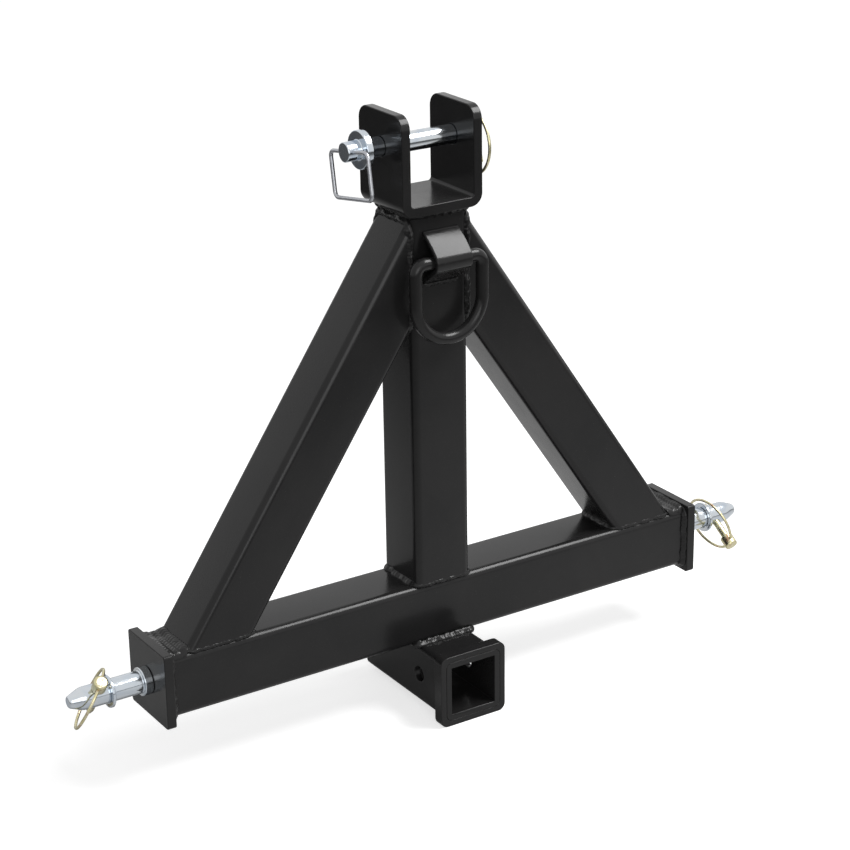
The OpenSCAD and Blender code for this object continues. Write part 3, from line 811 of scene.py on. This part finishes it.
def bead_run(start, end, seed):
    """A straight bead along X beside the clip, which tapers into a dome at each end."""
    welds = bpy.context.scene.hitch_welds
    swell = bead_swell(seed, welds.clip_radius)
    path, step = [(start[0], 0.0), (end[0], 0.0)], welds.pitch / BEAD_RINGS
    origin = (0.0, start[1], start[2])
    return rod(path, welds.clip_radius, False, X, Z, origin, swell, step, BEAD_SIDES)


def bead_fill(plate, foot, depth, top, half, seed):
    """The fill on the bar's top between an end plate and a brace's foot.

    Across, its height is a floor plus a cube of the way left to the plate or to the brace, plus three
    passes (the size of a sine), ripples along the bar's width and seeded slow waves. It follows the
    bar's round corners down, thins out at both ends with the root of one less the tenth power of the
    way from the middle, and leans back with the brace. Its underside lies inside the bar."""
    welds, shape = bpy.context.scene.hitch_welds, bpy.context.scene.hitch_shape
    inset, buried, lag, blunt = 0.001, 0.0016, 0.8, 0.04
    corner = shape.tube_corner
    random = np.random.default_rng(seed)
    waves, phases = random.uniform(2.0, 14.0, 5), random.uniform(0.0, 2.0 * np.pi, 5)
    way, run = np.meshgrid(np.linspace(0.0, 1.0, 31), np.linspace(-1.0, 1.0, 141))
    width = run * (half - inset)
    past = np.clip(np.abs(width) - (half - corner), 0.0, corner)
    bar = top - corner + np.sqrt(corner**2 - past**2)
    phase = np.pi * width / welds.pitch + lag * np.cos(6.0 * np.pi * way)
    ripples = welds.ripple * np.sqrt(np.sin(phase) ** 2 + blunt)
    passes = np.abs(np.sin(3.0 * np.pi * way))
    angles = [wave * run + start for wave, start in zip(waves, phases)]
    uneven = sum(np.sin(angle + 2.0 * way) for angle in angles) / len(angles)
    rise = welds.fill_low + welds.fill_rise * ((1.0 - way) ** 3 + way**3)
    rise += ripples + welds.lumps / 2.0 * (passes + uneven)
    height = bar + rise * np.sqrt(1.0 - np.abs(run) ** 10)
    lean = (height - top) / math.tan(shape.brace_slope)
    inward = plate + (foot - np.sign(foot) * lean - plate) * way
    over = np.stack([inward, depth + width, height], axis=-1)
    below = np.stack([plate + (foot - plate) * way, depth + width, bar - buried], axis=-1)
    return skin(np.concatenate([over, below[:, ::-1]], axis=1), False)


# Operators


class HITCH_OT_tubes(bpy.types.Operator):
    """Paints the cross bar, the upright and the two braces"""

    bl_idname = "hitch.tubes"
    bl_label = "Frame tubes"

    def execute(self, context):
        for node in ("cross_tube", "upright_tube", "left_brace_tube", "right_brace_tube"):
            eased_copy(node + "_painted", node, context.scene.hitch_paint.edge)
        return {"FINISHED"}


class HITCH_OT_plates(bpy.types.Operator):
    """Paints the end plates and eases their sheared edges"""

    bl_idname = "hitch.plates"
    bl_label = "End plates"

    def execute(self, context):
        for node in ("left_end_plate", "right_end_plate"):
            eased_copy(node + "_painted", node, context.scene.hitch_paint.edge)
        return {"FINISHED"}


class HITCH_OT_clevis(bpy.types.Operator):
    """Paints the top clevis and eases the edges of its strap"""

    bl_idname = "hitch.clevis"
    bl_label = "Top clevis"

    def execute(self, context):
        eased_copy("clevis_painted", "top_clevis", context.scene.hitch_paint.edge)
        return {"FINISHED"}


class HITCH_OT_receiver(bpy.types.Operator):
    """Paints the receiver tube and the collar round its mouth"""

    bl_idname = "hitch.receiver"
    bl_label = "Receiver"

    def execute(self, context):
        for node in ("receiver_tube", "receiver_collar"):
            eased_copy(node + "_painted", node, context.scene.hitch_paint.edge)
        return {"FINISHED"}


class HITCH_OT_ring(bpy.types.Operator):
    """Makes the D-ring and paints the clip that holds it"""

    bl_idname = "hitch.ring"
    bl_label = "D-ring and clip"

    def execute(self, context):
        shape = context.scene.hitch_shape
        low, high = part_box("d_ring")
        depth, radius = middle_of("d_ring")[1], shape.rod / 2.0
        half = (high[0] - low[0]) / 2.0 - radius
        top = high[2] - radius
        self.clip(shape, np.array((0.0, depth, top)))
        bow = low[2] + radius + half
        bend = shape.rod_bend
        path = np.vstack(
            [
                arc((half - bend, top - bend), bend, 0, 90),
                arc((bend - half, top - bend), bend, 90, 180),
                arc((0.0, bow), half, 180, 360, 60),
            ]
        )

        def swell(along, angle, whole):
            """A shade uneven, as a bar that was bent hot: seven slow waves along it."""
            waves, uneven = 7.0, 0.008
            return 1.0 + uneven * np.sin(2.0 * np.pi * waves * along / whole + angle) - uneven

        surface = rod(path, radius, True, X, Z, (0.0, depth, 0.0), swell, sides=32)
        surface_piece("d_ring_forged", "d_ring", surface)
        return {"FINISHED"}

    def clip(self, shape, pivot):
        """The strap: an arched upper leg, the bend round the ring's rod, and a straight lower leg."""
        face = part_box("upright_tube")[0][1] - pivot[1]
        bend = shape.rod / 2.0 + shape.clip_gap + shape.clip_thick / 2.0
        foot, arch = shape.clip_foot, shape.clip_arch
        first = math.pi / 2.0 + shape.clip_top + arch
        last = math.pi / 2.0 + shape.clip_top - arch
        reach = (face - bend * math.cos(first)) / (math.cos(last) - math.cos(first))
        centre = (bend - reach) * np.array((math.cos(first), math.sin(first)))
        turned_to = 270.0 - math.degrees(foot)
        start = bend * np.array((-math.sin(foot), -math.cos(foot)))
        run = (face - start[0]) / math.cos(foot) * np.linspace(0.0, 1.0, 12)[1:, None]
        line = np.vstack(
            [
                arc(centre, reach, math.degrees(last), math.degrees(first)),
                arc((0.0, 0.0), bend, math.degrees(first), turned_to, 40)[1:],
                start + run * np.array((math.cos(foot), -math.sin(foot))),
            ]
        )
        half = (shape.clip_thick / 2.0, shape.clip_width / 2.0)
        surface_piece("clip_painted", "d_ring_clip", strap(line, half, shape.clip_edge, pivot, face))


class HITCH_OT_top_pin(bpy.types.Operator):
    """Plates the top link pin and bends its bail from wire"""

    bl_idname = "hitch.top_pin"
    bl_label = "Top link pin"

    def execute(self, context):
        shape = context.scene.hitch_shape
        low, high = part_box("top_link_pin")
        pin = middle_of("top_link_pin")
        width, collar, tip = shape.top_pin / 2.0, shape.top_collar / 2.0, shape.top_tip
        outside = low[0] + shape.top_head
        inside = outside + shape.top_collar_thick
        outline = [
            (low[0], CENTRE),
            (low[0], width),
            (outside, width),
            (outside, collar),
            (inside, collar),
            (inside, width),
            (high[0] - tip, width),
            (high[0], width - tip),
            (high[0], CENTRE),
        ]
        lynch_turn = math.radians(90.0 + LEANS["top"])
        holes = [
            (middle_of("top_lynch_pin")[0], lynch_turn, shape.lynch_hole / 2.0),
            (shape.bail_x, -shape.bail_turn, shape.bail_hole / 2.0),
        ]
        eased = softened(outline, shape.turned_edge)
        surface = turned(eased, (0.0, pin[1], pin[2]), X, Y, holes)
        surface_piece("top_pin_plated", "top_link_pin", surface)
        half, drop, bend = shape.bail_width / 2.0, -shape.bail_height, shape.bail_bend
        path = np.vstack(
            [
                [(shape.bail_end, 0.0)],
                arc((half - bend, -bend), bend, 90, 0),
                arc((half - bend, drop + bend), bend, 0, -90),
                arc((bend - half, drop + bend), bend, -90, -180),
                arc((bend - half, -bend), bend, 180, 90),
                [(-shape.bail_end, 0.0)],
            ]
        )
        lean = shape.bail_turn
        across = np.array((0.0, math.cos(lean), -math.sin(lean)))
        up = np.array((0.0, math.sin(lean), math.cos(lean)))
        origin = (shape.bail_x, pin[1], pin[2])
        surface = rod(path, shape.wire / 2.0, False, across, up, origin, step=WIRE_STEP)
        surface_piece("bail_wire", "top_pin_bail", surface)
        return {"FINISHED"}


class HITCH_OT_lift_pins(bpy.types.Operator):
    """Plates the lower lift pins, their nuts and the loose washers"""

    bl_idname = "hitch.lift_pins"
    bl_label = "Lift pins"

    def execute(self, context):
        shape = context.scene.hitch_shape
        width, stub, collar = shape.lift_pin / 2.0, shape.lift_stub / 2.0, shape.lift_collar / 2.0
        for word, side in SIDES:
            low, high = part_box(word + "_lift_pin")
            inner, outer = sorted((abs(low[0]), abs(high[0])))
            plate = abs(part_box(word + "_end_plate")[int(side > 0)][0])
            shoulder, nose = plate + shape.lift_collar_thick, outer - shape.lift_nose
            body = [
                (inner, CENTRE),
                (inner, stub),
                (plate, stub),
                (plate, collar),
                (shoulder, collar),
                (shoulder, width),
                (nose, width),
            ]
            tip = [(shoulder, width), (nose, width), (outer, shape.lift_nose_end / 2.0), (outer, CENTRE)]
            eased = (softened(body, shape.turned_edge)[:-1], softened(tip, shape.nose_edge)[1:])
            pin = middle_of(word + "_lift_pin")
            lean = math.radians((90.0 + LEANS[word]) * side)
            hole = (abs(middle_of(word + "_lynch_pin")[0]), lean, shape.lynch_hole / 2.0)
            surface = turned(np.vstack(eased), (0.0, pin[1], pin[2]), side * X, Y, [hole])
            surface_piece(word + "_lift_pin_plated", word + "_lift_pin", surface)
            low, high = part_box(word + "_washer")
            ring = washer(
                middle_of(word + "_washer"),
                shape.washer_hole / 2.0,
                (high[1] - low[1]) / 2.0,
                high[0] - low[0],
                shape.washer_edge,
            )
            surface_piece(word + "_washer_plated", word + "_washer", ring)
            eased_copy(word + "_weld_nut_plated", word + "_weld_nut", context.scene.hitch_metal.edge)
        return {"FINISHED"}


class HITCH_OT_lynch_pins(bpy.types.Operator):
    """Turns the three lynch pins and bends their spring rings"""

    bl_idname = "hitch.lynch_pins"
    bl_label = "Lynch pins"

    def execute(self, context):
        shape = context.scene.hitch_shape
        half = shape.head_length / 2.0
        for word, host, out, twist, open_by in LYNCH_PINS:
            centre = middle_of(host)
            lean = math.radians(LEANS[word])
            up = np.array((0.0, -math.sin(lean), math.cos(lean)))
            level = np.array((0.0, math.cos(lean), math.sin(lean)))
            turn_by = math.radians(90.0 - twist)
            hinge_way = math.cos(turn_by) * X + math.sin(turn_by) * level
            host_radius = (shape.top_pin if word == "top" else shape.lift_pin) / 2.0
            on_axis = np.array((middle_of(word + "_lynch_pin")[0], centre[1], centre[2]))
            foot = on_axis + up * (host_radius + shape.seat_gap + out)
            shank, tip = shape.shank / 2.0, shape.tip_width / 2.0
            body = softened(
                [
                    (-shape.shank_length, CENTRE),
                    (-shape.shank_length, tip),
                    (shape.tip_length - shape.shank_length, shank),
                    (0.0, shank),
                    (0.0, shape.head / 2.0),
                    (shape.head_length, shape.head / 2.0),
                    (shape.head_length, CENTRE),
                ],
                shape.head_round,
            )
            hole = (half, 0.0, shape.hinge_hole / 2.0)
            surface = turned(body, foot, up, hinge_way, [hole], sides=96)
            surface_piece(word + "_lynch_pin_plated", word + "_lynch_pin", surface)

            wire = shape.spring / 2.0
            drop = shape.spring_ring - shape.spring_in
            gap = math.degrees(math.acos(drop / shape.spring_ring))
            ends = shape.head / 4.0
            path = np.vstack(
                [
                    [(-ends, 0.0)],
                    arc((0.0, -drop), shape.spring_ring, 90.0 + gap, 450.0 - gap, 160),
                    [(ends, 0.0)],
                ]
            )
            swing = math.radians(open_by)
            hang = math.cos(swing) * up + math.sin(swing) * np.cross(hinge_way, up)
            ring = rod(path, wire, False, hinge_way, hang, foot + half * up, step=WIRE_STEP)
            surface_piece(word + "_lynch_ring_plated", word + "_lynch_ring", ring)
        return {"FINISHED"}


class HITCH_OT_welds(bpy.types.Operator):
    """Lays the weld beads round every joint of the frame"""

    bl_idname = "hitch.welds"
    bl_label = "Weld beads"

    def execute(self, context):
        welds, shape = context.scene.hitch_welds, context.scene.hitch_shape
        sunk, corner, slope = welds.sunk, shape.tube_corner, shape.brace_slope
        bar_low, bar_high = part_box("cross_tube")
        post_low, post_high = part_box("upright_tube")
        brace_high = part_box("left_brace_tube")[1]
        end, depth, bar_top = bar_high[0], middle_of("cross_tube")[1], bar_high[2]
        tube, brace = (bar_top - bar_low[2]) / 2.0, shape.brace_width / 2.0
        foot, meet = brace / math.sin(slope), brace / math.cos(slope)
        foot_corner, meet_corner = corner / math.sin(slope), corner / math.cos(slope)
        foot_end = end - shape.foot_in
        square = (tube, tube)

        plates, fills, feet, tops = [], [], [], []
        for k, (_, side) in enumerate(SIDES):
            middle = (side * end, depth, bar_top - tube)
            plates.append(bead_loop(middle, square, corner, Y, Z, seed=11 + k))
            fills.append(bead_fill(side * end, side * foot_end, depth, bar_top, tube, seed=15 + k))
            middle, half = (side * (foot_end - foot), depth, bar_top), (foot, brace - sunk)
            feet.append(bead_loop(middle, half, (foot_corner, corner), X, Y, seed=31 + k, flush=True))
            middle = (side * post_high[0], depth, brace_high[2] - meet)
            half = (brace - sunk / 2.0, meet)
            tops.append(bead_loop(middle, half, (corner, meet_corner), Y, Z, seed=41 + k))
        surface_piece("end_plate_beads", "end_plate_welds", joined(plates + fills))
        half = (tube, tube - sunk)
        bead = bead_loop((0.0, depth, bar_top), half, corner, X, Y, seed=21, flush=True)
        surface_piece("upright_foot_bead", "upright_foot_weld", bead)
        surface_piece("brace_foot_beads", "brace_foot_welds", joined(feet))
        surface_piece("brace_top_beads", "brace_top_welds", joined(tops))

        bead = bead_loop((0.0, depth, post_high[2]), square, corner, X, Y, seed=51)
        surface_piece("clevis_bead", "clevis_weld", bead)
        tighter = shape.receiver_corner / 2.0
        bead = bead_loop((0.0, depth, bar_low[2]), square, tighter, X, Y, seed=61)
        surface_piece("receiver_beads", "receiver_welds", bead)
        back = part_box("receiver_collar")[1][1]
        bead = bead_loop((0.0, back, 0.0), square, shape.receiver_corner, X, Z, seed=71)
        surface_piece("collar_bead", "collar_weld", bead)

        low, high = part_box("clip_welds")
        runs = []
        for k, height in enumerate((low[2] + welds.clip_radius, high[2] - welds.clip_radius)):
            start, stop = (low[0], post_low[1], height), (high[0], post_low[1], height)
            runs.append(bead_run(start, stop, seed=81 + k))
        surface_piece("clip_beads", "clip_welds", joined(runs))
        return {"FINISHED"}


def add_lamp(name, place, along, width, height, radiance):
    """A flat lamp that faces the lamps' aim, with its height along a direction.

    Its power is its radiance times its area times pi."""
    data = bpy.data.lights.new(name, "AREA")
    data.shape = "RECTANGLE"
    data.size, data.size_y = width, height
    data.energy = radiance * width * height * math.pi
    lamp = bpy.data.objects.new(name, data)
    back = (Vector(place) - Vector(LAMPS_AIM)).normalized()
    side = Vector(along).cross(back).normalized()
    facing = Matrix((side, back.cross(side), back)).transposed()
    lamp.matrix_world = Matrix.Translation(place) @ facing.to_4x4()
    bpy.context.scene.collection.objects.link(lamp)


class HITCH_OT_stage(bpy.types.Operator):
    """Sets the camera, the pale floor, the lamps and the white surroundings"""

    bl_idname = "hitch.stage"
    bl_label = "Stage"

    def execute(self, context):
        scene, stage = context.scene, context.scene.hitch_stage
        scene.view_settings.view_transform = "Standard"

        data = bpy.data.cameras.new("camera")
        data.lens = stage.lens
        data.sensor_width = SENSOR
        camera = bpy.data.objects.new("camera", data)
        camera.location = stage.place
        camera.rotation_euler = Euler((stage.tilt, stage.roll, stage.heading), "XYZ")
        scene.collection.objects.link(camera)
        scene.camera = camera

        self.floor(scene, stage)
        self.surroundings(scene, stage)
        add_lamp("top_lamp", (1.08, -0.6, 1.95), along=Y, width=0.95, height=1.15, radiance=stage.top_lamp)
        add_lamp(
            "front_lamp", (-1.0, -2.6, 1.2), along=Z, width=1.6, height=1.6, radiance=stage.front_lamp
        )
        return {"FINISHED"}

    def floor(self, scene, stage):
        """A flat floor at the lowest point of the object."""
        mesh = bpy.data.meshes.new("floor")
        corners = np.array([(-1, -1, 0), (1, -1, 0), (1, 1, 0), (-1, 1, 0)], float) * stage.floor_size
        corners[:, 2] = cad_box[0][2]
        mesh.from_pydata(corners.tolist(), [], [(0, 1, 2, 3)])
        mesh.materials.append(self.floor_material(stage))
        floor = bpy.data.objects.new("floor", mesh)
        scene.collection.objects.link(floor)

    def floor_material(self, stage):
        """Pale near the object, and painted darker far from it: a painted shade that the object's faces
        and pins reflect as a dark horizon.
        It glows, so that the camera sees it as white where no shadow falls, and reflections see a little
        of that glow."""
        material, add, where = new_material("pale_floor")
        distance = add("VectorMath", {0: where}, operation="LENGTH")["Value"]
        reach = (stage.floor_near, stage.floor_end)
        cloth, greyer = noise(add, where, scale=3.0, detail=3.0), (0.985, 0.985, 0.985)
        inputs = {
            "Fac": 1.0,
            "Color1": tint(add, cloth, [(0.3, greyer), (0.7, WHITE[:3])]),
            # Painted shade: the floor's colour darkens from the near tone to the far tone with distance
            # from the object, standing in for the darker studio that the faces and pins reflect.
            "Color2": between(add, distance, stage.floor_tone, stage.far_floor_painted_shade, *reach),
        }
        cloth_with_painted_shade = add("MixRGB", inputs, blend_type="MULTIPLY")["Color"]
        inputs = {"Base Color": cloth_with_painted_shade, "Roughness": 0.85, "Specular IOR Level": 0.1}
        matt = add("BsdfPrincipled", inputs)["BSDF"]

        path = add("LightPath")
        inputs = {0: path["Is Glossy Ray"], 1: path["Is Transmission Ray"]}
        mirrored = add("Math", inputs, operation="MAXIMUM")["Value"]
        inputs = {0: mirrored, 1: stage.floor_mirrored}
        mirrored_glow = add("Math", inputs, operation="MULTIPLY")["Value"]
        seen_glow = between(add, distance, stage.floor_seen, stage.floor_far, *reach)
        inputs = {0: path["Is Camera Ray"], 1: seen_glow, 2: mirrored_glow}
        strength = add("Math", inputs, operation="MULTIPLY_ADD")["Value"]
        glow = add("Emission", {"Color": WHITE, "Strength": strength})["Emission"]
        total = add("AddShader", {0: matt, 1: glow})["Shader"]
        add("OutputMaterial", {"Surface": total})
        return material

    def surroundings(self, scene, stage):
        """White behind the object and in its reflections, and a plain soft light on it."""
        world = bpy.data.worlds.new("studio")
        scene.world = world
        world.use_nodes = True
        add = node_adder(world.node_tree)
        path = add("LightPath")
        inputs = {0: path["Is Camera Ray"], 1: path["Is Glossy Ray"]}
        inputs = {0: add("Math", inputs, operation="MAXIMUM")["Value"], 1: path["Is Transmission Ray"]}
        seen = add("Math", inputs, operation="MAXIMUM")["Value"]
        soft = add("Background", {"Color": WHITE, "Strength": stage.sky})["Background"]
        white = add("Background", {"Color": WHITE, "Strength": 1.0})["Background"]
        add("OutputWorld", {"Surface": add("MixShader", {"Fac": seen, 1: soft, 2: white})["Shader"]})


OPERATORS = (
    HITCH_OT_tubes,
    HITCH_OT_plates,
    HITCH_OT_clevis,
    HITCH_OT_receiver,
    HITCH_OT_ring,
    HITCH_OT_top_pin,
    HITCH_OT_lift_pins,
    HITCH_OT_lynch_pins,
    HITCH_OT_welds,
    HITCH_OT_stage,
)


class HITCH_PT_panel(bpy.types.Panel):
    """Lists the pieces, with the sizes and colours that each takes"""

    bl_idname = "HITCH_PT_panel"
    bl_label = "Receiver hitch"
    bl_space_type = "VIEW_3D"
    bl_region_type = "UI"
    bl_category = "Hitch"

    def draw(self, context):
        layout = self.layout
        for operator in OPERATORS:
            layout.operator(operator.bl_idname)
        for name, group in GROUPS:
            box = layout.box()
            box.label(text=group.__doc__)
            for key in group.__annotations__:
                box.prop(getattr(context.scene, name), key)


def register():
    for name, group in GROUPS:
        bpy.utils.register_class(group)
        setattr(bpy.types.Scene, name, PointerProperty(type=group))
    for operator in OPERATORS:
        bpy.utils.register_class(operator)
    bpy.utils.register_class(HITCH_PT_panel)


def unregister():
    bpy.utils.unregister_class(HITCH_PT_panel)
    for operator in reversed(OPERATORS):
        bpy.utils.unregister_class(operator)
    for name, group in reversed(GROUPS):
        delattr(bpy.types.Scene, name)
        bpy.utils.unregister_class(group)


def main():
    register()
    bpy.ops.hitch.tubes()
    bpy.ops.hitch.plates()
    bpy.ops.hitch.clevis()
    bpy.ops.hitch.receiver()
    bpy.ops.hitch.ring()
    bpy.ops.hitch.top_pin()
    bpy.ops.hitch.lift_pins()
    bpy.ops.hitch.lynch_pins()
    bpy.ops.hitch.welds()
    bpy.ops.hitch.stage()


if __name__ == "__main__":
    main()
